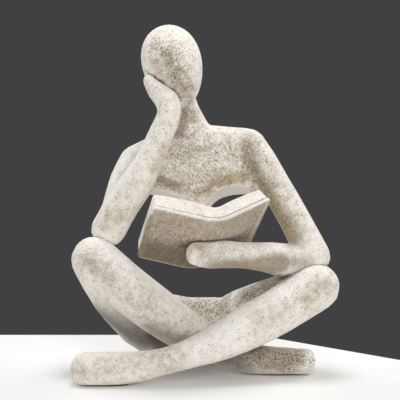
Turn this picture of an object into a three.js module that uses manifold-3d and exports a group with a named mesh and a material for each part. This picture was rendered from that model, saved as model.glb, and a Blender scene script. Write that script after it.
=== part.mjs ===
// A faceless seated figure in sandstone-coloured resin, reading an open book.
// Millimetres. x runs towards the figure's left hand, y away from the viewer, z up.
// The castings are pinned and glued to each other, and stand on three felt pads.

import * as THREE from 'three';
import { mergeVertices } from 'three/addons/utils/BufferGeometryUtils.js';
import Module from 'manifold-3d';

const wasm = await Module();
wasm.setup();

// Joints between the castings

const glueLine = 0.3;
const pinRadius = 1.5;
const pinReach = 5;
const elbowPinReach = 4.5;
const bookPinRadius = 1;
const bookPinReach = 3;
const bookPinPlace = { side: 0.22, height: 0.32 };
const pinPlay = 0.1;

// Felt pads, as thickness and half sizes, and the height of the table top that they stand on

const tableTop = 0.8;
const padThickness = 1;
const seatPad = { x: 0, y: 21, halfWidth: 15, halfDepth: 7 };
const leftFootPad = { x: -46, y: -28, halfWidth: 11, halfDepth: 3 };
const rightFootPad = { x: 36, y: -8.5, halfWidth: 9, halfDepth: 2 };

// The head, an egg that is wider towards its crown, leaning towards the right hand by some degrees

const headCentre = [-15, -2, 143.9];
const headHalf = { width: 13.5, depth: 14.3, height: 19.4 };
const headWidening = 0.14;
const headLean = 14.5;

// Limbs and trunk, as stations [x, y, z, radius across the view, radius along the view]

const rightElbow = [-45.2, -2.5, 68.4, 8, 8];
const rightKnee = [-51.3, -8, 54.9, 10.9, 11.2];
const leftElbow = [50.3, -5, 56, 7.7, 7.6];
const leftKnee = [50.9, -10, 42.6, 11, 11.4];

const neck = [
  [-11, 1, 131, 5.2, 6],
  [-8.6, 3.5, 124, 5.4, 6],
  [-7.4, 5.5, 119, 6.7, 7.2],
  [-6.5, 7, 113, 9.4, 8.5],
];
const rightShoulder = [-32.2, 9, 98.4, 8.3, 8.6];
const leftShoulder = [19.5, 9, 105.2, 9.3, 9.2];
const yoke = [
  rightShoulder,
  [-21, 8, 102.2, 9.6, 9.6],
  [-5, 7.5, 105.6, 10.6, 10.6],
  [10, 8, 105.3, 10, 10],
  leftShoulder,
];
const leftNeckSlope = [
  [-6, 5.5, 119.4, 3, 4.5],
  [0.6, 7, 113.4, 3, 5.5],
  [10, 8, 110.2, 5, 7],
];
const rightNeckSlope = [
  [-10, 6, 118, 3, 4.5],
  [-16.5, 7, 110.6, 3, 5.5],
  [-24, 8, 105.6, 4, 6.5],
];
const chest = [
  [-5.5, 8, 106, 18, 8.5],
  [-4, 7, 101, 25, 11],
  [-2.5, 6.5, 92, 28, 11.8],
  [-1.5, 6.5, 80, 27.5, 11],
  [-1.5, 6.5, 68, 25, 10],
];
const rightUpperArm = [
  rightShoulder,
  [-37.5, 5.5, 89.6, 7.5, 8],
  [-41.8, 1, 77.5, 6.6, 7.4],
  rightElbow,
];
const rightForearm = [
  rightElbow,
  [-38, -8.5, 81.3, 7.7, 7.4],
  [-31.6, -12, 91, 7.6, 7.2],
  [-26.2, -14, 101, 6.1, 6],
  [-20.2, -14.8, 114.7, 5.5, 5.2],
  [-16.3, -14, 124.3, 5.4, 5.4],
  [-18.1, -12.5, 130.2, 5.5, 5.4],
  [-21.8, -11.5, 134, 4.8, 5],
  [-24.9, -10, 138, 3.5, 4.2],
];
const leftUpperArm = [
  leftShoulder,
  [25.7, 7, 98.5, 7.9, 8.4],
  [32.3, 4, 88.7, 7.1, 7.6],
  [41.7, -1, 72.5, 7.2, 7.6],
  leftElbow,
];
const leftForearm = [
  leftElbow,
  [42.5, -6.5, 54.8, 7.2, 7.2],
  [36.2, -8, 54.8, 7.9, 7.2],
  [29.8, -9.5, 56.3, 7.1, 6.6],
  [15.8, -14.5, 58.4, 5.9, 5.4],
  [2.4, -21, 60.1, 6.8, 4.8],
  [-5.2, -24.8, 61.2, 5.5, 3.8],
];
const pelvis = [
  [-21, 20, 17.6, 16.2, 13],
  [-9, 21, 14.9, 16.4, 14.5],
  [5, 21, 14.9, 16.4, 14.5],
  [17, 20, 14, 14, 12.5],
];
const rightThigh = [
  [-10, 22, 16, 14.5, 13.5],
  [-24.2, 16, 19.4, 15.4, 13],
  [-33.2, 9.5, 27.6, 14, 12.6],
  [-41.8, 1.5, 38, 12.6, 12],
  rightKnee,
];
const leftThigh = [
  [8, 22, 17, 12, 12],
  [19, 15, 24, 12.9, 12],
  [34, 3, 33.5, 11.2, 11.4],
  leftKnee,
];
const rightShin = [
  rightKnee,
  [-38, -8, 43, 10.9, 11],
  [-24.2, -8, 32, 10.8, 10.4],
  [-10.3, -8, 22, 9.7, 9.2],
  [2.1, -8, 15, 8, 8],
  [12.4, -8.5, 10.4, 7.2, 7.4],
  [24.2, -8.5, 7.7, 6.9, 7],
  [39.4, -8.5, 6.9, 6.4, 6.6],
  [48, -8.5, 6.7, 6, 6.2],
];
const leftShin = [
  leftKnee,
  [33, -15, 32, 10.5, 10.5],
  [20.6, -19.5, 26.3, 10.2, 10],
  [7.3, -24, 20.3, 8.7, 8.6],
  [-7.8, -27.5, 15, 6.5, 7.2],
  [-18.1, -28.5, 12.1, 5.9, 7],
  [-30.8, -28.5, 9.3, 6.9, 7.4],
  [-48.1, -28, 8, 8, 7.6],
  [-55.9, -28, 7.8, 7.9, 7.4],
];

// How far the rounding at the end of each foot reaches, as a share of its half thickness

const rightToe = 0.55;
const leftToe = 0.75;

// Where the castings part, each plane facing away from the trunk or the seat

const neckSeam = { point: [-8.4, 3.8, 123.4], facing: [-0.22, -0.25, 0.94] };
const rightShoulderSeam = { point: [-30, 8, 96], facing: [-0.97, -0.1, -0.2] };
const leftShoulderSeam = { point: [25, 7.5, 100], facing: [0.96, -0.1, -0.26] };
const rightHipSeam = { point: [-24.4, 16, 19.4], facing: [-0.62, -0.46, 0.62] };
const leftHipSeam = { point: [20.5, 14, 25], facing: [0.66, -0.52, 0.42] };

// The hollow under the chest: its rim seen from the front, and how it falls towards the back

const hollowRim = [
  [-44, 94],
  [-24.9, 88.8],
  [-15.6, 86],
  [-6, 80.8],
  [-2, 80],
  [0.8, 82],
  [3.4, 85.6],
  [7, 88.4],
  [12, 89.8],
  [18.5, 89.8],
  [23, 88.8],
  [44, 82],
];
const hollowFloor = 40;
const hollowFall = 0.38;
const hollowAhead = 15;
const hollowBehind = 45;
const chestFront = -5;

// The book: the corners of its cover, with the spine nearest to the viewer

const bookTop = { left: [-23.4, -39, 84.1], spine: [6.6, -32, 76.2], right: [30.1, -14.5, 84.6] };
const bookFoot = { left: [-31.3, -20, 58.4], spine: [-5.2, -13, 51], right: [19.6, 4.5, 57.2] };
const coverThickness = 1.5;
const pageThickness = { left: 7, right: 5.4 };
const pageBulge = 0.9;
const pageInset = 0.4;
const spineRound = 0.24;

// Meshing

const sides = 18;
const stepsPerStation = 2;
const capRings = 3;
const bookColumns = 20;
const bookRows = 3;
const pinSides = 16;
const padSides = 32;
const eggColumns = 26;
const eggRows = 20;
const surfaceStep = 0.01;
const span = 400;

// Turning geometry into solids and back

function solid(geometry) {
  geometry.deleteAttribute('normal');
  geometry.deleteAttribute('uv');
  const merged = mergeVertices(geometry, 1e-4);
  const vertProperties = new Float32Array(merged.attributes.position.array);
  const triVerts = new Uint32Array(merged.index.array);
  return new wasm.Manifold(new wasm.Mesh({ numProp: 3, vertProperties, triVerts }));
}

function geometryOf(body) {
  const mesh = body.getMesh();
  const geometry = new THREE.BufferGeometry();
  geometry.setAttribute('position', new THREE.BufferAttribute(mesh.vertProperties, 3));
  geometry.setIndex(new THREE.BufferAttribute(mesh.triVerts, 1));
  geometry.computeVertexNormals();
  return geometry;
}

function join(...bodies) {
  return bodies.reduce((sum, body) => sum.add(body));
}

function cut(body, ...tools) {
  return tools.reduce((rest, tool) => rest.subtract(tool), body);
}

// A closed skin over rings of equal length, with a point at either end

function skin(rings, firstPole, lastPole) {
  const count = rings[0].length;
  const points = [firstPole, ...rings.flat(), lastPole];
  const last = points.length - 1;
  const index = [];
  for (let k = 0; k < count; k += 1) {
    const next = (k + 1) % count;
    index.push(0, 1 + next, 1 + k);
    for (let ring = 0; ring < rings.length - 1; ring += 1) {
      const here = 1 + ring * count;
      const there = here + count;
      index.push(here + k, here + next, there + k);
      index.push(here + next, there + next, there + k);
    }
    const end = last - count;
    index.push(end + k, end + next, last);
  }
  const geometry = new THREE.BufferGeometry();
  geometry.setAttribute('position', new THREE.Float32BufferAttribute(points.flatMap((p) => p.toArray()), 3));
  geometry.setIndex(index);
  return geometry;
}

// Round sections strung along a smooth path, closed by a dome at either end

function limb(stations, grow = 0, lastDome = 1) {
  const path = new THREE.CatmullRomCurve3(stations.map(([x, y, z]) => new THREE.Vector3(x, y, z)));
  const girth = new THREE.CatmullRomCurve3(
    stations.map(([, , , across, deep]) => new THREE.Vector3(across + grow, deep + grow, 0)),
  );
  const steps = (stations.length - 1) * stepsPerStation;

  function frame(t) {
    const along = path.getTangent(t);
    const deep = new THREE.Vector3(0, 1, 0).addScaledVector(along, -along.y).normalize();
    const across = new THREE.Vector3().crossVectors(deep, along);
    return { centre: path.getPoint(t), radius: girth.getPoint(t), along, across, deep };
  }

  function ring({ centre, radius, along, across, deep }, shift, scale) {
    return Array.from({ length: sides }, (_, k) => {
      const angle = (k / sides) * Math.PI * 2;
      return centre
        .clone()
        .addScaledVector(along, shift)
        .addScaledVector(across, radius.x * scale * Math.cos(angle))
        .addScaledVector(deep, radius.y * scale * Math.sin(angle));
    });
  }

  const domeAngles = Array.from({ length: capRings - 1 }, (_, k) => ((k + 1) / capRings) * (Math.PI / 2));
  const first = frame(0);
  const last = frame(1);
  const firstReach = Math.min(first.radius.x, first.radius.y);
  const lastReach = Math.min(last.radius.x, last.radius.y) * lastDome;
  const rings = [
    ...domeAngles.map((angle) => ring(first, -firstReach * Math.cos(angle), Math.sin(angle))),
    ...Array.from({ length: steps + 1 }, (_, k) => ring(frame(k / steps), 0, 1)),
    ...domeAngles.toReversed().map((angle) => ring(last, lastReach * Math.cos(angle), Math.sin(angle))),
  ];
  const firstPole = first.centre.clone().addScaledVector(first.along, -firstReach);
  const lastPole = last.centre.clone().addScaledVector(last.along, lastReach);
  return solid(skin(rings, firstPole, lastPole));
}

function egg(grow = 0) {
  const geometry = new THREE.SphereGeometry(1, eggColumns, eggRows);
  geometry.rotateX(Math.PI / 2);
  const points = geometry.attributes.position;
  for (let k = 0; k < points.count; k += 1) {
    const widening = 1 + headWidening * points.getZ(k);
    points.setXY(k, points.getX(k) * widening, points.getY(k) * widening);
  }
  geometry.scale(headHalf.width + grow, headHalf.depth + grow, headHalf.height + grow);
  geometry.rotateY(THREE.MathUtils.degToRad(-headLean));
  geometry.translate(...headCentre);
  return solid(geometry);
}

// All space beyond a plane, on the side it faces

function beyond(point, facing) {
  const box = new THREE.BoxGeometry(span, span, span);
  box.translate(0, 0, span / 2);
  const turn = new THREE.Quaternion().setFromUnitVectors(new THREE.Vector3(0, 0, 1), facing);
  box.applyQuaternion(turn);
  box.translate(point.x, point.y, point.z);
  return solid(box);
}

function facingOf(seam) {
  return new THREE.Vector3(...seam.facing).normalize();
}

// The part of a body behind the seam, and the part in front of it, a glue line apart

function part(body, seam) {
  const facing = facingOf(seam);
  const point = new THREE.Vector3(...seam.point);
  const behind = point.clone().addScaledVector(facing, -glueLine / 2);
  const ahead = point.clone().addScaledVector(facing, glueLine / 2);
  return [
    body.subtract(beyond(behind, facing)),
    body.subtract(beyond(ahead, facing.clone().negate())),
  ];
}

// A round bar centred on a point, lying along a direction

function bar(point, direction, radius, reach) {
  const geometry = new THREE.CylinderGeometry(radius, radius, reach * 2, pinSides);
  const turn = new THREE.Quaternion().setFromUnitVectors(new THREE.Vector3(0, 1, 0), direction);
  geometry.applyQuaternion(turn);
  geometry.translate(point.x, point.y, point.z);
  return solid(geometry);
}

function pin(point, direction, radius = pinRadius, reach = pinReach) {
  return {
    body: bar(point, direction, radius, reach),
    bore: bar(point, direction, radius + pinPlay, reach + pinPlay),
  };
}

function seamPin(seam) {
  return pin(new THREE.Vector3(...seam.point), facingOf(seam));
}

// A pin where an elbow stands on a knee, placed by the two radii

function elbowPin(elbow, knee) {
  const from = new THREE.Vector3(...elbow.slice(0, 3));
  const towards = new THREE.Vector3(...knee.slice(0, 3)).sub(from);
  const share = elbow[3] / (elbow[3] + knee[3]);
  const point = from.clone().addScaledVector(towards, share);
  return pin(point, towards.normalize(), pinRadius, elbowPinReach);
}

// A point of the book, from side -1 to 1, height 0 to 1 and depth behind the cover's face

function bookPoint(side, height, depth) {
  const surface = (s, h) => {
    const near = new THREE.Vector3(...bookFoot.spine).lerp(new THREE.Vector3(...bookTop.spine), h);
    const key = s < 0 ? 'left' : 'right';
    const far = new THREE.Vector3(...bookFoot[key]).lerp(new THREE.Vector3(...bookTop[key]), h);
    const otherKey = s < 0 ? 'right' : 'left';
    const other = new THREE.Vector3(...bookFoot[otherKey]).lerp(new THREE.Vector3(...bookTop[otherKey]), h);
    const reach = Math.abs(s);
    if (reach >= spineRound) {
      return near.lerp(far, reach);
    }
    const share = (1 + reach / spineRound) / 2;
    const start = near.clone().lerp(other, spineRound);
    const end = near.clone().lerp(far, spineRound);
    return start.lerp(near, share).lerp(near.lerp(end, share), share);
  };
  const sideways = surface(side + surfaceStep, height).sub(surface(side - surfaceStep, height));
  const upwards = surface(side, height + surfaceStep).sub(surface(side, height - surfaceStep));
  const inward = upwards.cross(sideways).normalize();
  return surface(side, height).addScaledVector(inward, depth);
}

// A sheet between two depths behind the cover's face, trimmed in from its edges

function sheet(front, back, inset) {
  const width = new THREE.Vector3(...bookTop.left).distanceTo(new THREE.Vector3(...bookTop.spine));
  const tall = new THREE.Vector3(...bookTop.spine).distanceTo(new THREE.Vector3(...bookFoot.spine));
  const row = (j) => {
    const height = inset / tall + (j / bookRows) * (1 - (2 * inset) / tall);
    const place = (i) => ((2 * i) / bookColumns - 1) * (1 - inset / width);
    const columns = Array.from({ length: bookColumns + 1 }, (_, i) => place(i));
    const facing = columns.map((s) => bookPoint(s, height, front(s)));
    const behind = columns.map((s) => bookPoint(s, height, back(s)));
    return [...facing, ...behind.toReversed()];
  };
  const rings = Array.from({ length: bookRows + 1 }, (_, j) => row(j));
  const count = rings[0].length;
  const points = rings.flat();
  const index = [];
  for (let ring = 0; ring < bookRows; ring += 1) {
    for (let k = 0; k < count; k += 1) {
      const here = ring * count;
      const next = (k + 1) % count;
      index.push(here + k, here + next, here + count + k);
      index.push(here + next, here + count + next, here + count + k);
    }
  }
  const top = bookRows * count;
  for (let i = 0; i < bookColumns; i += 1) {
    const far = count - 1 - i;
    index.push(i, far, i + 1, i + 1, far, far - 1);
    index.push(top + i, top + i + 1, top + far, top + i + 1, top + far - 1, top + far);
  }
  const geometry = new THREE.BufferGeometry();
  geometry.setAttribute('position', new THREE.Float32BufferAttribute(points.flatMap((p) => p.toArray()), 3));
  geometry.setIndex(index);
  return solid(geometry);
}

function coverSheet(grow = 0) {
  return sheet(() => -grow, () => coverThickness + grow, -grow);
}

function pageSheet(grow = 0) {
  const start = coverThickness + glueLine;
  const thickness = (s) => {
    const turned = THREE.MathUtils.smoothstep(s, -spineRound, spineRound);
    const plain = THREE.MathUtils.lerp(pageThickness.left, pageThickness.right, turned);
    return plain + pageBulge * Math.sin(Math.PI * Math.min(1, Math.abs(s)));
  };
  return sheet(() => start - grow, (s) => start + thickness(s) + grow, pageInset - grow);
}

// The hollow under the chest, a long bar whose section is the rim, falling towards the back

function hollow() {
  const outline = new THREE.Shape();
  outline.moveTo(hollowRim[0][0], hollowFloor);
  hollowRim.forEach(([x, z]) => outline.lineTo(x, z));
  outline.lineTo(hollowRim.at(-1)[0], hollowFloor);
  const geometry = new THREE.ExtrudeGeometry(outline, {
    depth: hollowAhead + hollowBehind,
    bevelEnabled: false,
  });
  geometry.rotateX(Math.PI / 2);
  geometry.translate(0, hollowBehind, 0);
  geometry.applyMatrix4(new THREE.Matrix4().makeShear(0, 0, 0, -hollowFall, 0, 0));
  geometry.translate(0, chestFront, 0);
  return solid(geometry);
}

function pad({ x, y, halfWidth, halfDepth }) {
  const geometry = new THREE.CylinderGeometry(1, 1, padThickness, padSides);
  geometry.rotateX(Math.PI / 2);
  geometry.scale(halfWidth, halfDepth, 1);
  geometry.translate(x, y, tableTop + padThickness / 2);
  return solid(geometry);
}

// Upper body

const soles = new THREE.Vector3(0, 0, tableTop + padThickness);
const underPads = beyond(soles, new THREE.Vector3(0, 0, -1));
const shoulders = join(limb(yoke), limb(leftNeckSlope), limb(rightNeckSlope));
const trunk = cut(join(shoulders, limb(chest)), hollow());
const upperBody = join(trunk, limb(rightUpperArm), limb(leftUpperArm), limb(neck), egg());
const [bodyBelowNeck, headBlank] = part(upperBody, neckSeam);
const [bodyWithLeftArm, rightArmRoot] = part(bodyBelowNeck, rightShoulderSeam);
const [torsoBlank, leftArmRoot] = part(bodyWithLeftArm, leftShoulderSeam);

// Seat and legs

const lowerBody = join(limb(pelvis), limb(rightThigh), limb(leftThigh));
const [seatWithLeftThigh, rightThighEnd] = part(lowerBody, rightHipSeam);
const [seatBlank, leftThighEnd] = part(seatWithLeftThigh, leftHipSeam);
const leftShinRoom = limb(leftShin, glueLine, leftToe);
const rightShinRoom = limb(rightShin, glueLine, rightToe);

// Pins

const neckPin = seamPin(neckSeam);
const rightShoulderPin = seamPin(rightShoulderSeam);
const leftShoulderPin = seamPin(leftShoulderSeam);
const rightHipPin = seamPin(rightHipSeam);
const leftHipPin = seamPin(leftHipSeam);
const rightElbowPin = elbowPin(rightElbow, rightKnee);
const leftElbowPin = elbowPin(leftElbow, leftKnee);
const bookPinFoot = bookPoint(bookPinPlace.side, bookPinPlace.height, 0);
const bookPinAxis = bookPoint(bookPinPlace.side, bookPinPlace.height, 1).sub(bookPinFoot).normalize();
const bookPin = pin(bookPinFoot, bookPinAxis, bookPinRadius, bookPinReach);

// Finished castings

const headCasting = cut(headBlank, neckPin.bore);
const torso = cut(torsoBlank, neckPin.bore, rightShoulderPin.bore, leftShoulderPin.bore);
const seat = cut(seatBlank, underPads, leftShinRoom, rightShinRoom, rightHipPin.bore, leftHipPin.bore);
const leftLeg = cut(
  join(leftThighEnd, limb(leftShin, 0, leftToe)),
  underPads,
  leftHipPin.bore,
  leftElbowPin.bore,
);
const rightLeg = cut(
  join(rightThighEnd, limb(rightShin, 0, rightToe)),
  underPads,
  leftShinRoom,
  limb(leftThigh, glueLine),
  rightHipPin.bore,
  rightElbowPin.bore,
);
const rightArm = cut(
  join(rightArmRoot, limb(rightForearm)),
  egg(glueLine),
  limb(neck, glueLine),
  rightShinRoom,
  limb(rightThigh, glueLine),
  rightShoulderPin.bore,
  rightElbowPin.bore,
);
const leftArm = cut(
  join(leftArmRoot, limb(leftForearm)),
  leftShinRoom,
  limb(leftThigh, glueLine),
  coverSheet(glueLine),
  pageSheet(glueLine),
  leftShoulderPin.bore,
  leftElbowPin.bore,
  bookPin.bore,
);

// Materials

const sandstone = { color: 0xd9d3c6, roughness: 0.88, metalness: 0 };
const paleSandstone = { color: 0xcfcbc2, roughness: 0.8, metalness: 0 };
const steel = { color: 0xa3a5a8, roughness: 0.35, metalness: 1 };
const felt = { color: 0x4a4844, roughness: 1, metalness: 0 };

const statue = new THREE.Group();

function place(name, body, finish) {
  const mesh = new THREE.Mesh(geometryOf(body), new THREE.MeshStandardMaterial(finish));
  mesh.name = name;
  statue.add(mesh);
}

place('head', headCasting, sandstone);
place('torso', torso, sandstone);
place('right_arm', rightArm, sandstone);
place('left_arm', leftArm, sandstone);
place('seat', seat, sandstone);
place('right_leg', rightLeg, sandstone);
place('left_leg', leftLeg, sandstone);
place('book_cover', cut(coverSheet(), bookPin.bore), sandstone);
place('book_pages', cut(pageSheet(), bookPin.bore), paleSandstone);
place('neck_pin', neckPin.body, steel);
place('right_shoulder_pin', rightShoulderPin.body, steel);
place('left_shoulder_pin', leftShoulderPin.body, steel);
place('right_hip_pin', rightHipPin.body, steel);
place('left_hip_pin', leftHipPin.body, steel);
place('right_elbow_pin', rightElbowPin.body, steel);
place('left_elbow_pin', leftElbowPin.body, steel);
place('book_pin', bookPin.body, steel);
place('seat_pad', pad(seatPad), felt);
place('left_foot_pad', pad(leftFootPad), felt);
place('right_foot_pad', pad(rightFootPad), felt);

// The origin is under the middle of the whole figure

statue.updateMatrixWorld(true);
const extent = new THREE.Box3().setFromObject(statue, true);
statue.position.set(-(extent.min.x + extent.max.x) / 2, -(extent.min.y + extent.max.y) / 2, -extent.min.z);

export default statue;
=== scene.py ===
import math

import bmesh
import bpy
import numpy as np
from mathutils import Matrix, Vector
from mathutils.bvhtree import BVHTree


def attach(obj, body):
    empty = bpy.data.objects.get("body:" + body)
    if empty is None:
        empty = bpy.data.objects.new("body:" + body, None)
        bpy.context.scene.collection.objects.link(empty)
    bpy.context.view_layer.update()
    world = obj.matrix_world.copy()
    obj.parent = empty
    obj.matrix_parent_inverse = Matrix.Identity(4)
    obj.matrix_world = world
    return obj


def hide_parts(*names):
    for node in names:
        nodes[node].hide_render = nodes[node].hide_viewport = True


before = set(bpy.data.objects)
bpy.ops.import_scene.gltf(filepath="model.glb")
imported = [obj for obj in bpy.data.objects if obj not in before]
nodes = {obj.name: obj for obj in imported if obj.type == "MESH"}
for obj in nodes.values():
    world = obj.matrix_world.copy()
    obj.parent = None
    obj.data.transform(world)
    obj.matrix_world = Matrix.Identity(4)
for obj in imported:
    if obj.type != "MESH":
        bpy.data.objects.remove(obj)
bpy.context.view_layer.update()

mm = 0.001
samePoint = 0.001 * mm
nearlyFlat = math.radians(1)
squareEdge = math.radians(60)
print("frame loaded:", len(nodes), "nodes")

# Small tools for meshes


def copyOf(name):
    body = bmesh.new()
    body.from_mesh(nodes[name].data)
    bmesh.ops.remove_doubles(body, verts=body.verts, dist=samePoint)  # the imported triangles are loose
    return body


def pour(target, source):
    carrier = bpy.data.meshes.new("carrier")
    source.to_mesh(carrier)
    target.from_mesh(carrier)
    bpy.data.meshes.remove(carrier)


def newPiece(name, body):
    mesh = bpy.data.meshes.new(name)
    body.to_mesh(mesh)
    body.free()
    piece = bpy.data.objects.new(name, mesh)
    bpy.context.scene.collection.objects.link(piece)
    return piece


def applyModifiers(piece):
    bpy.context.view_layer.update()
    ready = piece.evaluated_get(bpy.context.evaluated_depsgraph_get())
    finished = bpy.data.meshes.new_from_object(ready)
    piece.modifiers.clear()
    old = piece.data
    piece.data = finished
    finished.name = piece.name
    bpy.data.meshes.remove(old)


def swell(body, amount):
    body.normal_update()
    for vert in body.verts:
        vert.co += vert.normal * amount


def remeshAndSmooth(piece, voxel, rounds):
    remesh = piece.modifiers.new("Remesh", "REMESH")
    remesh.mode = "VOXEL"
    remesh.voxel_size = voxel
    remesh.use_smooth_shade = True
    smooth = piece.modifiers.new("Smooth", "SMOOTH")
    smooth.factor = 0.5
    smooth.iterations = rounds
    applyModifiers(piece)


def fillHoles(body):
    rims = [edge for edge in body.edges if edge.is_boundary]
    caps = bmesh.ops.holes_fill(body, edges=rims, sides=0)["faces"]
    for cap in caps:
        cap.smooth = False
    bmesh.ops.triangulate(body, faces=caps)


def keepIsland(body, point):
    start = min(body.verts, key=lambda vert: (vert.co - point).length)
    found = {start}
    waiting = [start]
    while waiting:
        vert = waiting.pop()
        for edge in vert.link_edges:
            other = edge.other_vert(vert)
            if other not in found:
                found.add(other)
                waiting.append(other)
    bmesh.ops.delete(body, geom=[vert for vert in body.verts if vert not in found], context="VERTS")


# Castings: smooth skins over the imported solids, parted where their pins cross the glue lines

casting = {
    "voxel": 0.5 * mm,  # size of the quads in the finished skin
    "swell": 0.2 * mm,  # put on before smoothing, which takes as much off
    "smoothing": 26,
    "stub": 9 * mm,  # how much of a neighbour is modelled along, so that the skin runs on
    "seamRing": 2 * mm,
    "seamSamples": 24,  # points of the casting that say on which side of its seam it lies
    "seamSnap": 0.02 * mm,
    "sharpAngle": math.radians(38),
}

castings = {  # each with its pins, and what each pin joins it to
    "head": {"neck_pin": "torso"},
    "torso": {"neck_pin": "head", "right_shoulder_pin": "right_arm", "left_shoulder_pin": "left_arm"},
    "right_arm": {"right_shoulder_pin": "torso"},
    "left_arm": {"left_shoulder_pin": "torso"},
    "seat": {"right_hip_pin": "right_leg", "left_hip_pin": "left_leg"},
    "right_leg": {"right_hip_pin": "seat"},
    "left_leg": {"left_hip_pin": "seat"},
}


def seamAt(pinName, ownBody):
    points = np.array([vert.co for vert in nodes[pinName].data.vertices])
    middle = points.mean(axis=0)
    axis = Vector(np.linalg.svd(points - middle)[2][0]).normalized()
    middle = Vector(middle)
    near = sorted(ownBody.verts, key=lambda vert: (vert.co - middle).length)[:casting["seamSamples"]]
    if sum((vert.co - middle).dot(axis) for vert in near) < 0:
        axis.negate()  # it points from the neighbour into this casting
    return middle, axis


def stubOf(name, seam):
    middle, axis = seam
    body = copyOf(name)
    for side, kept in ((axis, casting["stub"]), (-axis, casting["seamRing"])):
        everything = body.verts[:] + body.edges[:] + body.faces[:]
        bmesh.ops.bisect_plane(
            body, geom=everything, plane_co=middle - side * kept, plane_no=side, clear_inner=True)
        fillHoles(body)
    keepIsland(body, middle)
    return body


def partAtSeam(body, seam, ownTree, stubTree):
    middle, axis = seam

    def ahead(face):
        return (face.calc_center_median() - middle).dot(axis)

    def distance(tree, face):
        return tree.find_nearest(face.calc_center_median())[3]

    reach = casting["seamRing"]
    ring = [face for face in body.faces if abs(ahead(face)) < reach and distance(stubTree, face) < reach]
    around = {part for face in ring for part in (*face.verts, *face.edges)}
    bmesh.ops.bisect_plane(
        body, geom=ring + list(around), dist=casting["seamSnap"], plane_co=middle, plane_no=axis)
    spare = [
        face for face in body.faces
        if ahead(face) < 0 and distance(stubTree, face) < distance(ownTree, face) + casting["swell"]]
    bmesh.ops.delete(body, geom=spare, context="FACES")
    fillHoles(body)


def makeCasting(name, neighbours):
    own = copyOf(name)
    ownTree = BVHTree.FromBMesh(own)
    body = own.copy()
    seams = []
    for pinName, neighbour in neighbours.items():
        seam = seamAt(pinName, own)
        stub = stubOf(neighbour, seam)
        seams.append((seam, BVHTree.FromBMesh(stub)))
        pour(body, stub)
        pour(body, copyOf(pinName))
    swell(body, casting["swell"])
    piece = newPiece(name + "_stone", body)
    remeshAndSmooth(piece, casting["voxel"], casting["smoothing"])
    skin = bmesh.new()
    skin.from_mesh(piece.data)
    for seam, stubTree in seams:
        partAtSeam(skin, seam, ownTree, stubTree)
    skin.to_mesh(piece.data)
    skin.free()
    return piece


pieces = {}
for castingName, neighbours in castings.items():
    pieces[castingName] = makeCasting(castingName, neighbours)
    print("casting", castingName, len(pieces[castingName].data.polygons), "faces")

# Book: a cover sheet folded at its spine, and the block of pages behind it

book = {
    "voxel": 0.3 * mm,
    "swell": 0.15 * mm,
    "smoothing": 20,
    "cornerRadius": 1.7 * mm,
    "segments": 5,
    "through": Vector((0.42, -0.81, -0.42)),  # about the way through the cover
    "likeness": 0.7,  # how nearly a corner's edge runs that way
}


def roundCorners(body):
    bmesh.ops.dissolve_limit(body, angle_limit=nearlyFlat, verts=body.verts, edges=body.edges)
    corners = []
    for edge in body.edges:
        along = (edge.verts[1].co - edge.verts[0].co).normalized()
        if edge.calc_face_angle(0) > squareEdge and abs(along.dot(book["through"])) > book["likeness"]:
            corners.append(edge)
    bmesh.ops.bevel(
        body, geom=corners, offset=book["cornerRadius"], segments=book["segments"], profile=0.5,
        affect="EDGES", material=-1)


def makeBookPart(name):
    body = copyOf(name)
    roundCorners(body)
    bmesh.ops.triangulate(body, faces=body.faces)
    swell(body, book["swell"])
    piece = newPiece(name + "_stone", body)
    remeshAndSmooth(piece, book["voxel"], book["smoothing"])
    return piece


for bookPart in ("book_cover", "book_pages"):
    pieces[bookPart] = makeBookPart(bookPart)
    print("book", bookPart, len(pieces[bookPart].data.polygons), "faces")

# Each casting is trimmed to the one that it leans on, and drilled for its pins

leaning = [
    ("right_arm", "head"),
    ("right_arm", "right_leg"),
    ("left_arm", "left_leg"),
    ("left_arm", "book_cover"),
    ("left_arm", "book_pages"),
    ("right_leg", "left_leg"),
    ("seat", "right_leg"),
    ("seat", "left_leg"),
]
pinHolds = {
    "neck_pin": ("head", "torso"),
    "right_shoulder_pin": ("right_arm", "torso"),
    "left_shoulder_pin": ("left_arm", "torso"),
    "right_hip_pin": ("right_leg", "seat"),
    "left_hip_pin": ("left_leg", "seat"),
    "right_elbow_pin": ("right_arm", "right_leg"),
    "left_elbow_pin": ("left_arm", "left_leg"),
    "book_pin": ("book_cover", "book_pages", "left_arm"),
}
pinPlay = 0.1 * mm


def takeAway(piece, tool):
    trim = piece.modifiers.new("Trim", "BOOLEAN")
    trim.operation = "DIFFERENCE"
    trim.solver = "MANIFOLD"
    trim.object = tool
    applyModifiers(piece)


def drillFor(pinName, holders):
    body = copyOf(pinName)
    swell(body, pinPlay)
    drill = newPiece("drill", body)
    for holder in holders:
        takeAway(pieces[holder], drill)
    bpy.data.objects.remove(drill)


def sharpen(piece):
    body = bmesh.new()
    body.from_mesh(piece.data)
    for face in body.faces:
        face.smooth = True
    for edge in body.edges:
        edge.smooth = edge.calc_face_angle(0) < casting["sharpAngle"]
    body.to_mesh(piece.data)
    body.free()


for carried, carrier in leaning:
    takeAway(pieces[carried], pieces[carrier])
for pinName, holders in pinHolds.items():
    drillFor(pinName, holders)
for name, piece in pieces.items():
    sharpen(piece)
    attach(piece, "root")
    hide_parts(name)
print("castings trimmed and drilled")

# Felt pads

felt = {"rounding": 0.25 * mm, "segments": 3}
padNames = ("seat_pad", "left_foot_pad", "right_foot_pad")


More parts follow.
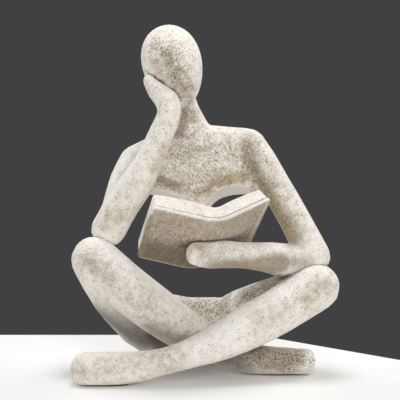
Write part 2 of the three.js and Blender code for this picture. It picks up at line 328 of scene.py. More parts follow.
def makePad(padName):
    body = copyOf(padName)
    bmesh.ops.dissolve_limit(body, angle_limit=nearlyFlat, verts=body.verts, edges=body.edges)
    rims = [edge for edge in body.edges if edge.calc_face_angle(0) > squareEdge]
    bmesh.ops.bevel(
        body, geom=rims, offset=felt["rounding"], segments=felt["segments"], profile=0.5,
        affect="EDGES", material=-1)
    return newPiece(padName + "_felt", body)


for padName in padNames:
    pieces[padName] = makePad(padName)
    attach(pieces[padName], "root")
    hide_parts(padName)
print("pads cut")

# Paint maps on each vertex, from 0 to 1: painted shade in hollows, a painted highlight on convex edges,
# and brush layers; the specks, stain, grime and bare layers are the stone's own colour, while the shade
# and light layers and some wash strokes are painted shade and highlight

paintMaps = {
    "rays": 40,
    "grazing": 0.1,  # rays flatter to the surface than this are left out
    "reach": 12 * mm,  # how far off a neighbouring form still shades a hollow
    "lift": 0.5 * mm,
    "sampleStep": 4,  # one vertex in four is tested
    "spreading": 5,  # rounds of averaging, which fill in the others
    "downFrom": 0.25,  # how far a surface turns down before it counts as an underside
    "downFade": 0.25,
    # edgeRounds and edgeDepth set the spread and width of the painted highlight on convex edges
    "edgeRounds": 4,
    "edgeDepth": 0.05 * mm,
    "jointReach": 0.8,  # mm from the cover to where the line on the pages ends
    "jointFade": 0.5,
}
stoneNames = [*castings, "book_cover", "book_pages"]
strokes = {  # the pieces painted, from and to in mm, reach in mm, amount
    "specks": {  # dark grains and pale flecks
        "brow": ("head", (-23, -10, 154), (-17, -14, 150), 6, 0.9),
        "face": ("head", (-16, -14, 150), (-12, -13, 138), 8, 1.0),
        "cheek": ("head", (-12, -13, 138), (-8, -9, 131), 7, 1.0),
        "throat": ("head torso", (-9, -2, 126), (-10, 1, 116), 6, 0.9),
        "collar": ("torso", (-10, 0, 110), (-2, -1, 108), 8, 1.0),
        "chest": ("torso", (-12, -2, 101), (14, -1, 102), 10, 1.0),
        "ribs": ("torso", (-14, -2, 92), (8, -3, 93), 8, 1.0),
        "left_armpit": ("torso left_arm", (19, 2, 108), (21, 1, 98), 8, 1.0),
        "left_arm_inside": ("left_arm", (28, 0, 88), (36, -3, 72), 8, 0.7),
        "right_forearm": ("right_arm", (-16, -16, 116), (-45, -11, 72), 14, 0.16),
        "left_hand": ("left_arm", (-7, -24, 63), (4, -23, 61), 8, 0.3),
        "left_forearm": ("left_arm", (9, -20, 58), (28, -14, 54), 7, 0.22),
        "lap": ("seat", (-10, 16, 27), (16, 14, 30), 14, 1.2),
        "left_thigh_inside": ("left_leg", (18, 6, 34), (36, -6, 44), 9, 1.1),
        "right_foot": ("right_leg", (18, -12, 9), (40, -10, 8), 9, 0.62),
        "right_knee": ("right_leg", (-52, -16, 57), (-40, -17, 47), 8, 0.2),
        "right_shin": ("right_leg", (-30, -17, 34), (-10, -15, 22), 9, 0.1),
        "left_knee": ("left_leg", (53, -18, 47), (40, -24, 38), 9, 0.2),
        "left_shin": ("left_leg", (28, -27, 30), (2, -32, 18), 9, 0.06),
        "left_foot": ("left_leg", (-20, -34, 14), (-52, -34, 9), 9, 0.1),
    },
    "washAndShade": {  # brown, sponged on; the strokes marked below are painted shade
        "temple": ("head", (-22, -11, 153), (-17, -13, 150), 5, 0.6),
        "face": ("head", (-18, -14, 150), (-13, -14, 139), 9, 0.6),
        "brow": ("head", (-17, -14, 149), (-14, -14, 142), 5.5, 0.85),
        "cheek": ("head", (-13, -13, 139), (-8, -9, 131), 6, 0.8),
        "jaw": ("head", (-21, -12, 146), (-16, -13, 137), 6, 0.55),
        # painted shade at the throat, beside the hand and forearm
        "throat": ("head torso", (-9.5, -1, 124), (-12, 2, 112), 4, 1.0),
        "nape": ("head torso", (-7, -4, 127), (-6, 0, 120), 4, 0.75),
        "chest": ("torso", (-10, -1, 104), (12, -1, 104), 13, 0.52),
        "ribs": ("torso", (-12, -2, 93), (8, -3, 94), 9, 0.52),
        # painted shade in the left armpit
        "left_armpit": ("torso left_arm", (20, 2, 106), (22, 1, 95), 6.5, 0.95),
        "right_ribs": ("torso", (-23, -1, 91), (-12, -2, 88), 3.5, 0.9),
        "left_arm_inside": ("left_arm", (24, 2, 94), (33, -2, 79), 6, 0.8),
        "left_arm_low": ("left_arm", (33, -3, 78), (41, -7, 65), 8, 0.9),
        # partly painted shade on the far foot, partly its own darker coat
        "right_foot": ("right_leg", (12, -12, 12), (38, -13, 9), 9, 1.1),
        "right_instep": ("right_leg", (10, -12, 14), (24, -11, 13), 8, 0.9),
        "lap": ("seat", (-10, 14, 26), (18, 12, 32), 12, 0.5),
        # painted shade on the inner left thigh, between forearm and shin
        "left_thigh_inside": ("left_leg", (20, 4, 36), (40, -7, 46), 8, 0.9),
        "left_hand": ("left_arm", (-6, -24, 61), (6, -23, 60), 6, 0.55),
        # painted shade under the left forearm and in the pocket at its elbow
        "left_forearm": ("left_arm", (4, -21, 54), (30, -13, 51), 6, 1.1),
        "left_elbow": ("left_arm", (25, -15, 53), (35, -13, 54), 5, 1.4),
        "left_elbow_side": ("left_arm", (38, -12, 54), (46, -11, 53), 6, 0.75),
        "right_elbow": ("right_arm", (-45, -10, 70), (-37, -12, 79), 6, 0.45),
        # painted shade along the right forearm's edge against the chest, and in the valley between
        # forearm and upper arm
        "right_forearm": ("right_arm", (-11, -12, 124), (-25, -8, 88), 3.5, 0.75),
        "right_valley": ("right_arm", (-32, 3, 104), (-41, 1, 91), 4, 0.3),
        "right_knee": ("right_leg", (-53, -17, 55), (-43, -18, 47), 7, 0.62),
        "right_shin": ("right_leg", (-44, -18, 46), (-16, -17, 24), 8, 0.5),
        "right_shin_low": ("right_leg", (-24, -14, 24), (-8, -14, 17), 7, 0.85),
        "left_knee": ("left_leg", (56, -16, 45), (47, -20, 39), 7, 0.5),
        "left_shin": ("left_leg", (38, -24, 37), (26, -26, 30), 8, 0.45),
        "left_foot": ("left_leg", (-46, -34, 11), (-10, -33, 13), 7, 0.46),
        "left_toes": ("left_leg", (-54, -34, 8), (-44, -35, 8), 7, 0.45),
        "left_arm_outside": ("left_arm", (28, 0, 98), (46, -8, 66), 6, 0.5),
        # painted shade: the cover darker towards its foot, which faces down
        "cover_foot": ("book_cover", (-33, -21, 57), (4, -14, 50), 13, 1.45),
        "cover_left": ("book_cover book_pages", (-30, -22, 61), (-26, -26, 76), 3, 0.9),
        # painted shadow of the hand on the cover
        "cover_hand": ("book_cover", (-11, -21, 62), (3, -18, 65), 4, 1.0),
    },
    "stain": {  # olive
        "chest_edge": ("torso", (4, -3, 90), (17, 0, 92), 3.2, 1.3),
        "chest_point": ("torso", (-3, -3, 85), (3, -3, 88), 3, 0.9),
        "left_arm_top": ("torso left_arm", (21, 1, 98), (24, 1, 92), 5, 0.6),
        "left_arm_inside": ("left_arm", (27, 0, 88), (35, -3, 74), 6, 0.9),
        "left_arm_low": ("left_arm", (35, -3, 74), (40, -5, 66), 6, 0.9),
        "left_knee": ("left_leg", (54, -17, 46), (44, -22, 39), 5, 0.45),
        "right_knee": ("right_leg", (-54, -15, 58), (-44, -18, 50), 5, 0.4),
        "right_forearm": ("right_arm", (-19, -16, 108), (-23, -16, 98), 4, 0.7),
        "cover_top": ("book_cover", (-19, -33, 78), (6, -25, 72), 6, 0.4),
        "cover_side": ("book_cover", (-24.6, -33.6, 78.5), (-30, -19, 58.5), 2.2, 0.95),
        "right_elbow": ("right_arm", (-47, -9, 72), (-40, -12, 76), 5, 0.5),
        "left_hand": ("left_arm", (-7, -24, 65), (-3, -25, 64), 4, 0.8),
        "left_forearm": ("left_arm", (6, -20, 55), (22, -15, 54), 4, 0.55),
        "right_foot": ("right_leg", (18, -13, 9), (40, -13, 8), 7, 0.15),
        "left_toes": ("left_leg", (-62, -28, 7), (-57, -33, 8), 4, 0.55),
        "left_foot": ("left_leg", (-10, -32, 10), (-24, -34, 8), 4, 0.5),
    },
    "grime": {  # coarse dark grains
        "face": ("head", (-17, -14, 150), (-11, -13, 136), 6, 0.7),
        "throat": ("head torso", (-9, -2, 126), (-11, 2, 111), 5, 0.6),
        "chest": ("torso", (-8, -1, 108), (4, -2, 98), 8, 0.55),
        "left_armpit": ("torso left_arm", (20, 2, 106), (22, 1, 94), 6, 0.75),
        "left_arm_inside": ("left_arm", (26, 1, 90), (38, -4, 70), 5, 0.6),
        "ribs": ("torso", (-22, -1, 90), (0, -3, 86), 4, 0.7),
        "left_thigh_inside": ("left_leg", (20, 4, 36), (38, -6, 45), 8, 1.0),
        "lap": ("seat", (-12, 14, 26), (18, 11, 29), 8, 0.8),
        "right_foot": ("right_leg", (16, -12, 11), (46, -12, 9), 9, 0.9),
        "left_forearm": ("left_arm", (-4, -25, 62), (16, -18, 60), 5, 0.3),
        "cover": ("book_cover", (-28, -28, 68), (-2, -22, 62), 12, 0.75),
    },
    "shade": {  # deep brown, where no light gets in
        "right_thigh": ("right_leg seat", (-26, 4, 15), (-20, 6, 9), 7, 0.92),
        "right_thigh_back": ("right_leg", (-47, 0, 27), (-28, 5, 12), 8, 0.82),
        "right_instep": ("right_leg", (2, -16, 9), (16, -15, 6), 7, 0.8),
        "right_foot_top": ("right_leg", (19, -12, 12), (29, -11, 12), 4, 0.4),
        "cover_hand": ("book_cover", (-11, -22, 63), (-3, -21, 66), 2, 0.8),
        "left_thigh_pit": ("left_leg", (27, 6, 42), (31, 3, 43), 3, 0.8),
    },
    "bare": {  # undersides left without a coat
        "under_chest": ("torso", (2, 4, 81), (20, 6, 85), 9, 2.0),
        "under_ribs": ("torso", (-26, 2, 86), (-8, 2, 82), 6, 2.0),
    },
    "light": {  # painted highlight, which also lifts the painted crease shade
        "left_forearm": ("left_arm", (14, -12, 65), (42, -8, 64), 6, 0.8),
        "right_knee": ("right_leg", (-52, -9, 66), (-36, -10, 54), 5, 1.0),
        "left_knee": ("left_leg", (52, -12, 55), (30, -18, 43), 6, 0.8),
        "right_shin": ("right_leg", (-44, -8, 58), (-8, -8, 32), 4, 0.9),
        "right_joint": ("right_leg right_arm", (-51, -6, 65), (-42, -7, 62), 3, 0.9),
        "left_joint": ("left_leg left_arm", (38, -15, 48), (54, -11, 54), 3, 0.9),
        "left_shin": ("left_leg", (14, -28, 27), (-6, -32, 18), 7, 0.5),
        "right_toes": ("right_leg", (47, -11, 9), (49, -8, 6), 4, 0.9),
        "rim_right": ("book_cover", (-23, -36.4, 83.9), (-8, -33.2, 80), 1.1, 0.9),
        "rim_middle": ("book_cover", (-8, -33.2, 80), (1, -31.8, 77.2), 1.1, 0.9),
        "rim_spine": ("book_cover", (1, -31.8, 77.2), (9.5, -26.7, 77.9), 1.1, 0.9),
        "rim_left": ("book_cover", (9.5, -26.7, 77.9), (28, -13.8, 83.8), 1.1, 0.9),
        "rim_side": ("book_cover", (28.8, -13.4, 83), (21, -1.5, 64.5), 0.7, 0.5),
        "cover_thumb": ("book_cover", (5, -18, 66), (16, -12, 68), 3.5, 0.14),
        "lap_rim": ("seat left_leg", (4, 21, 30), (15, 11, 34), 2.5, 1.0),
        "right_arm": ("right_arm", (-40, 0, 90), (-36, 4, 104), 6, 0.4),
        "right_forearm": ("right_arm", (-28, -15, 110), (-43, -10, 84), 4, 0.75),
    },
}


def awayFrom(points, start, end):
    start = np.array(start, dtype=float)
    along = np.array(end, dtype=float) - start
    share = np.clip((points - start) @ along / (along @ along), 0, 1)
    return np.linalg.norm(points - start - share[:, None] * along, axis=1)


def spherePoints(count):
    turn = math.pi * (3 - math.sqrt(5))
    heights = [1 - 2 * (k + 0.5) / count for k in range(count)]
    return [
        Vector((math.cos(turn * k) * math.sqrt(1 - z * z), math.sin(turn * k) * math.sqrt(1 - z * z), z))
        for k, z in enumerate(heights)]


def stoneTree(names):
    corners, faces = [], []
    for name in names:
        mesh = nodes[name].data
        offset = len(corners)
        corners += [vert.co.copy() for vert in mesh.vertices]
        faces += [[offset + index for index in face.vertices] for face in mesh.polygons]
    return BVHTree.FromPolygons(corners, faces)


def spread(values, edges, rounds):
    for _ in range(rounds):
        total = np.bincount(edges[:, 0], values[edges[:, 1]], len(values))
        total += np.bincount(edges[:, 1], values[edges[:, 0]], len(values))
        counts = np.bincount(edges.ravel(), minlength=len(values))
        values = (values + total / np.maximum(counts, 1)) / 2
    return values


# how much nearby stone shuts off the light around each point: this drives the painted shade in hollows
# and creases
def hollowness(points, normals, edges, tree):
    directions = spherePoints(paintMaps["rays"])
    facing = normals @ np.array(directions).T
    sampled = np.zeros(len(points))
    shaded = np.zeros(len(points))
    for index in range(0, len(points), paintMaps["sampleStep"]):
        origin = Vector(points[index] + normals[index] * paintMaps["lift"])
        seen = blocked = 0
        for k in np.nonzero(facing[index] > paintMaps["grazing"])[0]:
            seen += facing[index][k]
            hit = tree.ray_cast(origin, directions[k], paintMaps["reach"])[3]
            if hit is not None:
                blocked += facing[index][k] * (1 - hit / paintMaps["reach"])
        sampled[index] = 1
        shaded[index] = blocked / max(seen, 1)
    known = spread(sampled, edges, paintMaps["spreading"])
    return spread(shaded, edges, paintMaps["spreading"]) / np.maximum(known, 1e-6)


def painted(name, points, strokesOfLayer):
    amount = np.zeros(len(points))
    for pieceNames, start, end, reach, strength in strokesOfLayer.values():
        if name in pieceNames.split():
            away = awayFrom(points / mm, start, end) / reach
            amount = np.maximum(amount, strength * np.exp(-away ** 2))
    return amount


# convexity of each point, which drives the painted highlight on convex edges
def sharpness(points, normals, edges):
    rounds = paintMaps["edgeRounds"]
    inward = np.stack([spread(points[:, axis], edges, rounds) for axis in range(3)], axis=1) - points
    return -np.einsum("ij,ij->i", inward, normals) / paintMaps["edgeDepth"]


def storeAttribute(mesh, name, values):
    layer = mesh.attributes.new(name, "FLOAT", "POINT")
    layer.data.foreach_set("value", np.clip(values, 0, 1).astype(np.float32))


def meshArrays(mesh):
    points = np.zeros(len(mesh.vertices) * 3)
    normals = np.zeros(len(mesh.vertices) * 3)
    edges = np.zeros(len(mesh.edges) * 2, dtype=np.int64)
    mesh.vertices.foreach_get("co", points)
    mesh.vertices.foreach_get("normal", normals)
    mesh.edges.foreach_get("vertices", edges)
    return points.reshape(-1, 3), normals.reshape(-1, 3), edges.reshape(-1, 2)


def paintPiece(name):
    mesh = pieces[name].data
    points, normals, edges = meshArrays(mesh)
    # the painted shade in hollows, then the painted highlight on convex edges
    storeAttribute(mesh, "hollowShade", hollowness(points, normals, edges, occluders))
    storeAttribute(mesh, "edge", sharpness(points, normals, edges))
    for layerName, strokesOfLayer in strokes.items():
        amount = painted(name, points, strokesOfLayer)
        if layerName == "bare":
            amount *= np.clip((-normals[:, 2] - paintMaps["downFrom"]) / paintMaps["downFade"], 0, 1)
        storeAttribute(mesh, layerName, amount)


occluders = stoneTree(stoneNames)
for name in stoneNames:
    paintPiece(name)

# The pages' line along the cover
coverTree = stoneTree(["book_cover"])
pagePoints = meshArrays(pieces["book_pages"].data)[0]
gaps = np.array([coverTree.find_nearest(Vector(point))[3] / mm for point in pagePoints])
storeAttribute(pieces["book_pages"].data, "joint", (paintMaps["jointReach"] - gaps) / paintMaps["jointFade"])
print("wear painted")

# Small tools for materials


def colour(hexCode):
    channels = [int(hexCode[k:k + 2], 16) / 255 for k in (0, 2, 4)]
    linear = [c / 12.92 if c <= 0.04045 else ((c + 0.055) / 1.055) ** 2.4 for c in channels]
    return (*linear, 1)


def addNode(tree, kind, settings=(), inputs=()):
    node = tree.nodes.new("ShaderNode" + kind)
    for key, value in dict(settings).items():
        setattr(node, key, value)
    for key, value in dict(inputs).items():
        if isinstance(value, bpy.types.NodeSocket):
            tree.links.new(value, node.inputs[key])
        else:
            node.inputs[key].default_value = value
    return node


def calculate(tree, operation, first, second=0.0, third=0.0, clamp=False):
    settings = {"operation": operation, "use_clamp": clamp}
    return addNode(tree, "Math", settings, {0: first, 1: second, 2: third}).outputs[0]


def plus(tree, first, second):
    return calculate(tree, "ADD", first, second)


def times(tree, first, second):
    return calculate(tree, "MULTIPLY", first, second)


def less(tree, first, second):
    return calculate(tree, "SUBTRACT", first, second, clamp=True)


def timesPlus(tree, first, factor, offset):
    return calculate(tree, "MULTIPLY_ADD", first, factor, offset)


def ramp(tree, value, ends):
    settings = {"interpolation_type": "SMOOTHSTEP", "clamp": True}
    inputs = {"Value": value, "From Min": ends[0], "From Max": ends[1]}
    return addNode(tree, "MapRange", settings, inputs).outputs[0]


def blend(tree, factor, under, over):
    settings = {"data_type": "RGBA", "blend_type": "MIX", "clamp_factor": True}
    return addNode(tree, "Mix", settings, {0: factor, 6: under, 7: over}).outputs[2]


def noise(tree, place, scale, detail, roughness=0.5):
    inputs = {"Vector": place, "Scale": scale, "Detail": detail, "Roughness": roughness}
    return addNode(tree, "TexNoise", (), inputs).outputs["Fac"]


def cellColours(tree, place, scale):
    cells = addNode(tree, "TexVoronoi", {"feature": "F1"}, {"Vector": place, "Scale": scale})
    chance = addNode(tree, "SeparateColor", (), {"Color": cells.outputs["Color"]})
    return cells.outputs["Distance"], chance.outputs


def attribute(tree, name):
    return addNode(tree, "Attribute", {"attribute_name": name}).outputs["Fac"]


def inMillimetres(tree):
    place = addNode(tree, "TexCoord").outputs["Object"]
    return addNode(tree, "VectorMath", {"operation": "SCALE"}, {0: place, "Scale": 1 / mm}).outputs[0]


def newMaterial(name, roughness, metallic=0.0, specular=0.3):
    material = bpy.data.materials.new(name)
    material.use_nodes = True
    shader = material.node_tree.nodes["Principled BSDF"]
    shader.inputs["Roughness"].default_value = roughness
    shader.inputs["Metallic"].default_value = metallic
    shader.inputs["Specular IOR Level"].default_value = specular
    return material, material.node_tree, shader


def finishShader(tree, shader, tone, height, strength, depth):
    bump = addNode(tree, "Bump", (), {"Strength": strength, "Distance": depth, "Height": height})
    tree.links.new(bump.outputs["Normal"], shader.inputs["Normal"])
    tree.links.new(tone, shader.inputs["Base Color"])


# Sandstone: a cream coat with washes, sand and grains, and painted shade and highlight, each laid where
# the paint maps say

stone = {
    "cream": "efe9e0",
    "warmGrey": "d3cabe",
    "blotch": "a69c88",
    # painted shade in hollows and creases
    "creaseShadeTone": "75624f",
    # the wash, which some strokes use as painted shade
    "washAndShade": "968772",
    "olive": "a08a5c",
    "bare": "f5f2f0",
    "speckDark": "463c32",
    "speckBrown": "75664f",
    "shade": "3d352d",
    # painted highlight
    "light": "f8f6f2",
    "fleck": "fbf8f1",
    # painted highlight on convex edges
    "edge": "f4f1ea",
    "broadNoise": (0.07, 3),  # patterns a millimetre, layers, and roughness where it is given
    "cloudNoise": (0.3, 4, 0.6),
    "blotchNoise": (0.6, 3, 0.6),
    "softNoise": (1.5, 2),
    "fineNoise": (2.2, 4, 0.7),
    "coarseNoise": (1.25, 2, 0.6),
    "mottleMix": (0.6, 0.4),  # of the cloud and the fine noise
    "spongeMix": (0.6, 0.5),  # how far the same two break up a wash
    "creaseShadeBreak": 0.5,
    "highlightOverCrease": 0.9,  # how much of the painted crease shade a painted highlight takes off
    "mottleRange": (0.42, 0.8),  # a range is where a layer begins and where it is full
    "greyRange": (0.4, 0.75),
    "blotchRange": (0.54, 0.74),
    "blotchPatches": (0.35, 0.65),
    "softRange": (0.52, 0.68),
    "softPatches": (0.38, 0.62),
    "washAndShadeRange": (0.12, 1.1),
    "creaseShadeRange": (0.1, 0.6),
    "stainRange": (0.15, 1.2),
    "coarseRange": (0.7, 0.78),
    "grainPatches": (0.15, 0.6),
    "edgeStained": (0.5, 0.9),  # where a stain hides the painted edge highlight
    "sandScale": 1.35,
    "sandMix": (0.7, 0.6),  # of the sand and the fine noise
    "sandMiddle": 0.65,
    "darkGrains": (1.15, 0.28, 0.5),  # grains a millimetre, smallest and largest
    "smallGrains": (1.5, 0.35, 0.6),
    "paleGrains": (1.4, 0.3, 0.5),
    "darkShare": 0.5,
    "smallShare": 1.4,
    "paleShare": 0.25,
    "grimeShare": 0.22,
    "spotSharpness": 2.2,
    "heightMix": (0.7, -0.3),  # the fine noise stands out and the dark grains lie in
    "greyAmount": 0.35,
    "blotchAmount": 0.45,
    "softAmount": 0.68,
    "highlightAmount": 0.8,
    "washAndShadeAmount": 0.9,
    "creaseShadeAmount": 0.9,
    "stainAmount": 0.75,
    "shadeAmount": 0.92,
    "fleckAmount": 0.38,
    "coarseAmount": 0.75,
    "smallAmount": 0.6,
    "darkAmount": 0.85,
    "edgeHighlightAmount": 0.0,
    "jointAmount": 0.85,
    "baseSand": 0.16,
    "sandRange": 0.56,
    "baseSpecks": 0.014,
    "speckRange": 0.5,
    "roughness": 0.86,
    "sheen": 0.2,
    "relief": 0.5,
    "grain": 0.05 * mm,
}
coverLook = {
    **stone,
    "cream": "b3a592",
    "warmGrey": "998b77",
    # painted crease shade on the cover
    "creaseShadeTone": "5f5140",
    "blotch": "8a7c68",
    # the cover's wash, which also paints its shade towards the foot and under the hand
    "washAndShade": "655847",
    "olive": "8b7e68",
    "blotchAmount": 0.8,
    "softAmount": 0.9,
    # painted highlight on the cover's edges
    "edgeHighlightAmount": 0.9,
    "baseSpecks": 0.22,
    "baseSand": 0.6,
}
pageLook = {
    **stone,
    "blotchAmount": 0.3,
    "softAmount": 0.4,
    # painted crease shade and painted edge highlight on the pages
    "creaseShadeAmount": 0.5,
    "edgeHighlightAmount": 0.4,
    "baseSpecks": 0.05,
}


def grains(tree, look, place, grainName, share):
    scale, small, large = look[grainName]
    distance, chance = cellColours(tree, place, scale)
    size = timesPlus(tree, chance["Green"], large - small, small)
    inside = less(tree, 1.0, calculate(tree, "DIVIDE", distance, size))
    spot = calculate(tree, "MULTIPLY", inside, look["spotSharpness"], clamp=True)
    return times(tree, spot, calculate(tree, "LESS_THAN", chance["Red"], share))


def aroundMiddle(tree, pattern, amount):
    return times(tree, calculate(tree, "SUBTRACT", pattern, 0.5), amount)


def stonePatterns(tree, look):
    place = inMillimetres(tree)
    plain = plus(tree, attribute(tree, "bare"), attribute(tree, "shade"))
    cloud = noise(tree, place, *look["cloudNoise"])
    fine = noise(tree, place, *look["fineNoise"])
    uneven = aroundMiddle(tree, cloud, look["spongeMix"][0])
    gritty = aroundMiddle(tree, fine, look["spongeMix"][1])
    return {
        "place": place,
        "broad": noise(tree, place, *look["broadNoise"]),
        "cloud": cloud,
        "fine": fine,
        "broken": plus(tree, gritty, uneven),  # breaks up a wash as a sponge leaves it
        "covered": less(tree, 1.0, plain),  # where the coat lies, outside the bare undersides and the painted shade
        "specks": attribute(tree, "specks"),
    }


def tint(tree, look, under, mask, amountName, toneName):
    return blend(tree, times(tree, mask, look[amountName]), under, colour(look[toneName]))


def baseCoat(tree, look, patterns):
    place, broad, cloud = patterns["place"], patterns["broad"], patterns["cloud"]
    cloudPart, finePart = look["mottleMix"]
    mottle = plus(tree, times(tree, cloud, cloudPart), times(tree, patterns["fine"], finePart))
    mottle = ramp(tree, mottle, look["mottleRange"])
    base = blend(tree, mottle, colour(look["cream"]), colour(look["warmGrey"]))
    base = tint(tree, look, base, ramp(tree, broad, look["greyRange"]), "greyAmount", "warmGrey")
    blotch = ramp(tree, noise(tree, place, *look["blotchNoise"]), look["blotchRange"])
    blotch = times(tree, blotch, ramp(tree, broad, look["blotchPatches"]))
    base = tint(tree, look, base, blotch, "blotchAmount", "blotch")
    soft = ramp(tree, noise(tree, place, *look["softNoise"]), look["softRange"])
    soft = times(tree, soft, ramp(tree, cloud, look["softPatches"]))
    base = tint(tree, look, base, soft, "softAmount", "blotch")
    # painted highlight
    light = times(tree, attribute(tree, "light"), patterns["covered"])
    return tint(tree, look, base, light, "highlightAmount", "light")


def washesAndShade(tree, look, patterns, base):
    broken, covered = patterns["broken"], patterns["covered"]
    # the wash, partly painted shade
    washAndShade = ramp(tree, plus(tree, attribute(tree, "washAndShade"), broken), look["washAndShadeRange"])
    base = tint(tree, look, base, times(tree, washAndShade, covered), "washAndShadeAmount", "washAndShade")
    # painted shade in hollows and creases, weaker where a highlight is painted
    hollowShade = timesPlus(tree, attribute(tree, "light"), -look["highlightOverCrease"], attribute(tree, "hollowShade"))
    hollowShade = plus(tree, hollowShade, times(tree, broken, look["creaseShadeBreak"]))
    creaseShade = ramp(tree, hollowShade, look["creaseShadeRange"])
    base = tint(tree, look, base, creaseShade, "creaseShadeAmount", "creaseShadeTone")
    stain = ramp(tree, plus(tree, attribute(tree, "stain"), broken), look["stainRange"])
    base = tint(tree, look, base, times(tree, stain, covered), "stainAmount", "olive")
    base = blend(tree, attribute(tree, "bare"), base, colour(look["bare"]))
    return tint(tree, look, base, attribute(tree, "shade"), "shadeAmount", "shade")


def sandOver(tree, look, patterns, base):
    sand = cellColours(tree, patterns["place"], look["sandScale"])[1]["Blue"]
    sandPart, finePart = look["sandMix"]
    grainy = plus(tree, times(tree, sand, sandPart), times(tree, patterns["fine"], finePart))
    offMiddle = calculate(tree, "SUBTRACT", grainy, look["sandMiddle"])
    sandy = times(tree, patterns["specks"], patterns["covered"])
    contrast = timesPlus(tree, sandy, look["sandRange"], look["baseSand"])
    lightness = timesPlus(tree, offMiddle, contrast, 1.0)
    return addNode(tree, "VectorMath", {"operation": "SCALE"}, {0: base, "Scale": lightness}).outputs[0]


def darkGrains(tree, look, patterns, base):
    place, specks = patterns["place"], patterns["specks"]
    share = timesPlus(tree, specks, look["speckRange"], look["baseSpecks"])
    share = times(tree, share, ramp(tree, patterns["cloud"], look["grainPatches"]))
    share = times(tree, share, patterns["covered"])
    dark = grains(tree, look, place, "darkGrains", times(tree, share, look["darkShare"]))
    small = grains(tree, look, place, "smallGrains", times(tree, share, look["smallShare"]))
    pale = grains(tree, look, place, "paleGrains", times(tree, specks, look["paleShare"]))
    lumps = noise(tree, place, *look["coarseNoise"])
    lumps = timesPlus(tree, attribute(tree, "grime"), look["grimeShare"], lumps)
    coarse = ramp(tree, lumps, look["coarseRange"])
    base = tint(tree, look, base, pale, "fleckAmount", "fleck")
    base = tint(tree, look, base, coarse, "coarseAmount", "speckDark")
    base = tint(tree, look, base, small, "smallAmount", "speckBrown")
    return tint(tree, look, base, dark, "darkAmount", "speckDark"), dark


def sandstone(name, look):
    material, tree, shader = newMaterial(name, look["roughness"])
    shader.inputs["Sheen Weight"].default_value = look["sheen"]
    patterns = stonePatterns(tree, look)
    base = baseCoat(tree, look, patterns)
    base = washesAndShade(tree, look, patterns, base)
    base = sandOver(tree, look, patterns, base)
    base, dark = darkGrains(tree, look, patterns, base)
    # painted highlight on convex edges, left out where stained
    stained = ramp(tree, attribute(tree, "stain"), look["edgeStained"])
    edgeHighlight = less(tree, attribute(tree, "edge"), stained)
    base = tint(tree, look, base, edgeHighlight, "edgeHighlightAmount", "edge")
    base = tint(tree, look, base, attribute(tree, "joint"), "jointAmount", "speckBrown")
    finePart, darkPart = look["heightMix"]
    height = timesPlus(tree, dark, darkPart, times(tree, patterns["fine"], finePart))
    finishShader(tree, shader, base, height, look["relief"], look["grain"])
    return material


# Steel of the pins

steel = {
    "tone": "a6a8ab",
    "streak": "8b8d90",
    "streakNoise": (1, 3),
    "stretch": (6, 6, 0.4),
    "roughness": 0.34,
    "relief": 0.2,
    "depth": 0.01 * mm,
}


def brushedSteel():
    material, tree, shader = newMaterial("pin_steel", steel["roughness"], metallic=1.0)
    stretched = {0: inMillimetres(tree), 1: steel["stretch"]}
    place = addNode(tree, "VectorMath", {"operation": "MULTIPLY"}, stretched).outputs[0]
    streaks = noise(tree, place, *steel["streakNoise"])
    tone = blend(tree, streaks, colour(steel["tone"]), colour(steel["streak"]))
    finishShader(tree, shader, tone, streaks, steel["relief"], steel["depth"])
    return material


# Felt of the pads

feltLook = {
    "dark": "3c3a37",
    "pale": "5b5853",
    "fibreNoise": (5, 5, 0.75),
    "clumpNoise": (0.8, 3),
    "paleRange": (0.7, 1.3),
    "roughness": 0.97,
    "gloss": 0.1,
    "relief": 0.8,
    "pile": 0.08 * mm,
}


def woolFelt():
    material, tree, shader = newMaterial("pad_felt", feltLook["roughness"], specular=feltLook["gloss"])
    place = inMillimetres(tree)
    fibres = noise(tree, place, *feltLook["fibreNoise"])
    clumps = noise(tree, place, *feltLook["clumpNoise"])
    mix = ramp(tree, plus(tree, fibres, clumps), feltLook["paleRange"])
    tone = blend(tree, mix, colour(feltLook["dark"]), colour(feltLook["pale"]))
    finishShader(tree, shader, tone, fibres, feltLook["relief"], feltLook["pile"])
    return material


def dress(piece, material):
    piece.data.materials.clear()
    piece.data.materials.append(material)
    for face in piece.data.polygons:
        face.material_index = 0


figureStone = sandstone("sandstone", stone)
for name in castings:
    dress(pieces[name], figureStone)
dress(pieces["book_cover"], sandstone("cover_sandstone", coverLook))
dress(pieces["book_pages"], sandstone("page_sandstone", pageLook))
feltMaterial = woolFelt()
for padName in padNames:
    dress(pieces[padName], feltMaterial)
steelMaterial = brushedSteel()
for pinName in pinHolds:
    for materialSlot in nodes[pinName].material_slots:
        materialSlot.material = steelMaterial
print("materials set")

# Camera

camera = {
    "target": Vector((-2.47, 1.73, 81.1)) * mm,
    "distance": 750 * mm,
    "elevation": math.radians(8),
    "lens": 144.85,
    "sensor": 36,
}
lens = bpy.data.cameras.new("camera")
lens.lens = camera["lens"]
lens.sensor_width = camera["sensor"]
lens.clip_start = 10 * mm
eye = bpy.data.objects.new("camera", lens)
bpy.context.scene.collection.objects.link(eye)
outward = Vector((0, -math.cos(camera["elevation"]), math.sin(camera["elevation"])))
eye.location = camera["target"] + outward * camera["distance"]
eye.rotation_euler = (-outward).to_track_quat("-Z", "Y").to_euler()
bpy.context.scene.camera = eye

# Stage: a pale slab, whose far edge and right end show in the view

slab = {
    "outline": [(-420, 77.1), (26.8, 77.1), (95.3, 21.9), (480, -288), (480, -720), (-420, -720)],  # mm
    "thickness": 18 * mm,
    "rounding": 1.2 * mm,
    "segments": 3,
    "tone": "fbfbfa",
    "roughness": 0.6,
}


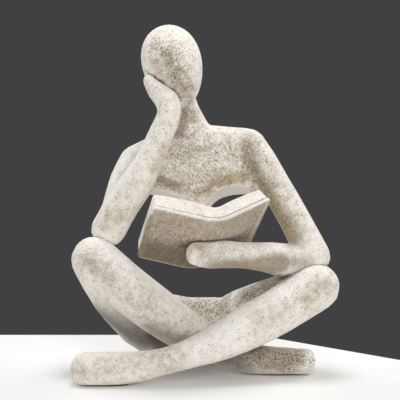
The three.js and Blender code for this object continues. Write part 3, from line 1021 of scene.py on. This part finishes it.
def makeSlab():
    body = bmesh.new()
    corners = [body.verts.new((x * mm, y * mm, 0)) for x, y in slab["outline"]]
    top = body.faces.new(corners)
    lower = bmesh.ops.extrude_face_region(body, geom=[top])["geom"]
    lowerCorners = [part for part in lower if isinstance(part, bmesh.types.BMVert)]
    bmesh.ops.translate(body, vec=(0, 0, -slab["thickness"]), verts=lowerCorners)
    bmesh.ops.recalc_face_normals(body, faces=body.faces)
    bmesh.ops.bevel(
        body, geom=body.edges[:], offset=slab["rounding"], segments=slab["segments"], profile=0.5,
        affect="EDGES", material=-1)
    piece = newPiece("slab", body)
    material, _, shader = newMaterial("slab", slab["roughness"])
    shader.inputs["Base Color"].default_value = colour(slab["tone"])
    dress(piece, material)
    return piece


slabPiece = makeSlab()

# Studio: soft lamps, and a dark backdrop that only the camera, gloss and glass see

studio = {
    "backdrop": "414143",
    "fill": 0.3,
    "lamps": {
        "overhead": {"at": (10, 0, 520), "size": 200, "power": 1.08},
        "left": {"at": (-400, 230, 240), "size": 420, "power": 0.95},
        "right": {"at": (400, 250, 240), "size": 420, "power": 1.0},
        "front": {"at": (120, -700, 360), "size": 300, "power": 2.3},
    },
}


def makeWorld():
    world = bpy.data.worlds.new("studio")
    world.use_nodes = True
    tree = world.node_tree
    fill = tree.nodes["Background"]
    fill.inputs["Color"].default_value = (1, 1, 1, 1)
    fill.inputs["Strength"].default_value = studio["fill"]
    backdrop = addNode(tree, "Background", (), {"Color": colour(studio["backdrop"]), "Strength": 1.0})
    path = addNode(tree, "LightPath")
    seen = calculate(tree, "MAXIMUM", path.outputs["Is Camera Ray"], path.outputs["Is Glossy Ray"])
    seen = calculate(tree, "MAXIMUM", seen, path.outputs["Is Transmission Ray"])
    chosen = addNode(tree, "MixShader", (), {0: seen, 1: fill.outputs[0], 2: backdrop.outputs[0]})
    tree.links.new(chosen.outputs[0], tree.nodes["World Output"].inputs["Surface"])
    bpy.context.scene.world = world


def addLamp(name, lamp):
    light = bpy.data.lights.new(name, "AREA")
    light.size = lamp["size"] * mm
    light.energy = lamp["power"]
    holder = bpy.data.objects.new(name, light)
    holder.location = Vector(lamp["at"]) * mm
    holder.rotation_euler = (camera["target"] - holder.location).to_track_quat("-Z", "Y").to_euler()
    bpy.context.scene.collection.objects.link(holder)


makeWorld()
for lampName, lamp in studio["lamps"].items():
    addLamp(lampName, lamp)

bpy.context.scene.view_settings.view_transform = "Standard"
print("stage set")
